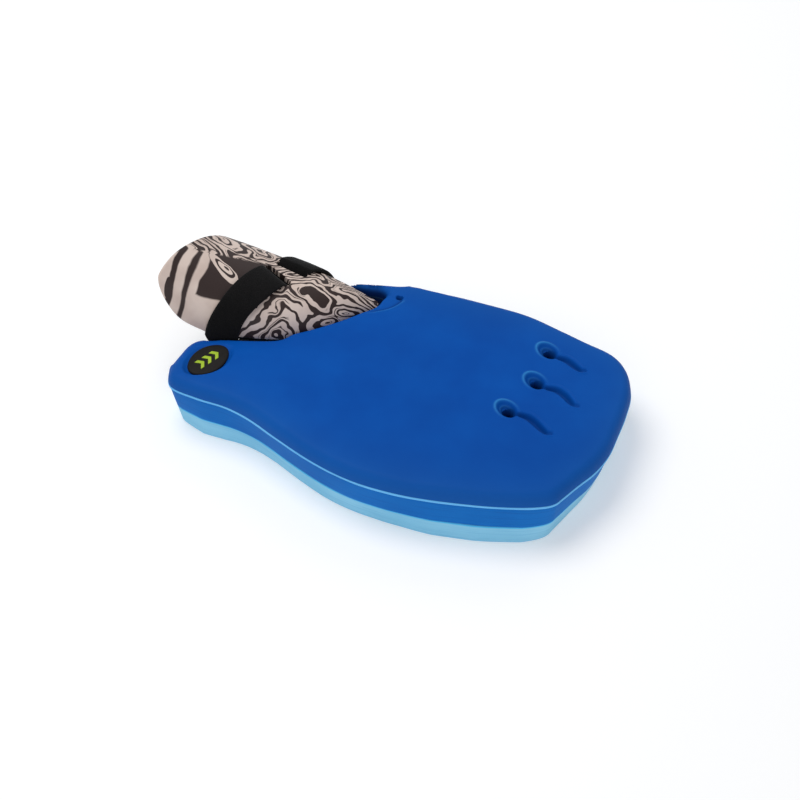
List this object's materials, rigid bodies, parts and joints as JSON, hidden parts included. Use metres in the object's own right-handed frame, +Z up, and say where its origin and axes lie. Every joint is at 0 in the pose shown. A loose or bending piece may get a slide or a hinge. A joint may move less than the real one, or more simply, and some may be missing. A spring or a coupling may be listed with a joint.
{
  "type": "hockey goalkeeper hand protector",
  "caption": "Left hand protector: a laminated foam blocking board with a hand pocket beneath, elastic loops, a hook and loop hand strap and a strapped, flexing wrist guard.",
  "frame": {"origin": "centre of the whole object's box in plan, on the flat rest face under the board", "axes": "+X along the board from the wrist towards the fingertips, +Y across it towards the thumb side, +Z up out of the blocking face"},
  "size_m": [0.3815, 0.2183, 0.1056],
  "materials": {
    "base_foam": "satin",
    "core_foam": "satin",
    "stripe_foam": "satin",
    "face_foam": "satin",
    "lining_fabric": "matte",
    "badge_rubber": "satin",
    "emblem_print": "satin",
    "strap_webbing": "matte",
    "rivet_plastic": "matte",
    "elastic_band": "matte",
    "loop_pile": "matte",
    "hook_tape": "matte",
    "marbled_foam": "satin",
    "guard_liner": "matte"
  },
  "bodies": {
    "board": {"base_foam": "base_foam", "core_foam": "core_foam", "stripe_foam": "stripe_foam", "face_foam": "face_foam", "palm_lining": "lining_fabric", "badge_plate": "badge_rubber", "badge_emblem": "emblem_print", "guard_hinge_strip": "strap_webbing", "finger_loop_rivets": "rivet_plastic", "thumb_loop_rivet": "rivet_plastic", "hand_strap": "strap_webbing", "hand_strap_loop_patch": "loop_pile"},
    "wrist_guard": {"wrist_guard_shell": "marbled_foam", "wrist_guard_liner": "guard_liner", "wrist_strap": "strap_webbing", "wrist_strap_loop_patch": "loop_pile"},
    "wrist_strap_end": {"wrist_strap_tab": "strap_webbing", "wrist_strap_hook_patch": "hook_tape"},
    "hand_strap_end": {"hand_strap_tab": "strap_webbing", "hand_strap_hook_patch": "hook_tape"},
    "index_loop": {"index_finger_loop": "elastic_band"},
    "middle_loop": {"middle_finger_loop": "elastic_band"},
    "outer_loop": {"outer_finger_loop": "elastic_band"},
    "thumb_loop_band": {"thumb_loop": "elastic_band"}
  },
  "joints": [
    {"name": "wrist_guard_flex", "type": "hinge", "parent": "board", "child": "wrist_guard", "pos_m": [-0.037, 0.0785, 0.036], "axis": [-0.2756, 0.9613, 0], "range_deg": [-3, 12], "stiffness_Nm_per_rad": 1.2},
    {"name": "wrist_strap_peel", "type": "hinge", "parent": "wrist_guard", "child": "wrist_strap_end", "pos_m": [-0.114, 0.08075, 0.01259], "axis": [-0.9876, -0.0398, 0.1521], "range_deg": [0, 60]},
    {"name": "hand_strap_peel", "type": "hinge", "parent": "board", "child": "hand_strap_end", "pos_m": [0.055, 0.1077, 0.008], "axis": [-1, 0, 0], "range_deg": [0, 100]},
    {"name": "index_loop_swivel", "type": "hinge", "parent": "board", "child": "index_loop", "pos_m": [0.117, 0.065, 0.029], "axis": [0, 0, 1], "range_deg": [-12, 12]},
    {"name": "middle_loop_swivel", "type": "hinge", "parent": "board", "child": "middle_loop", "pos_m": [0.1175, 0.0285, 0.029], "axis": [0, 0, 1], "range_deg": [-12, 12]},
    {"name": "outer_loop_swivel", "type": "hinge", "parent": "board", "child": "outer_loop", "pos_m": [0.106, -0.0085, 0.029], "axis": [0, 0, 1], "range_deg": [-12, 12]},
    {"name": "thumb_loop_swivel", "type": "hinge", "parent": "board", "child": "thumb_loop_band", "pos_m": [0.012, 0.074, 0.029], "axis": [0, 0, 1], "range_deg": [-15, 15]}
  ]
}
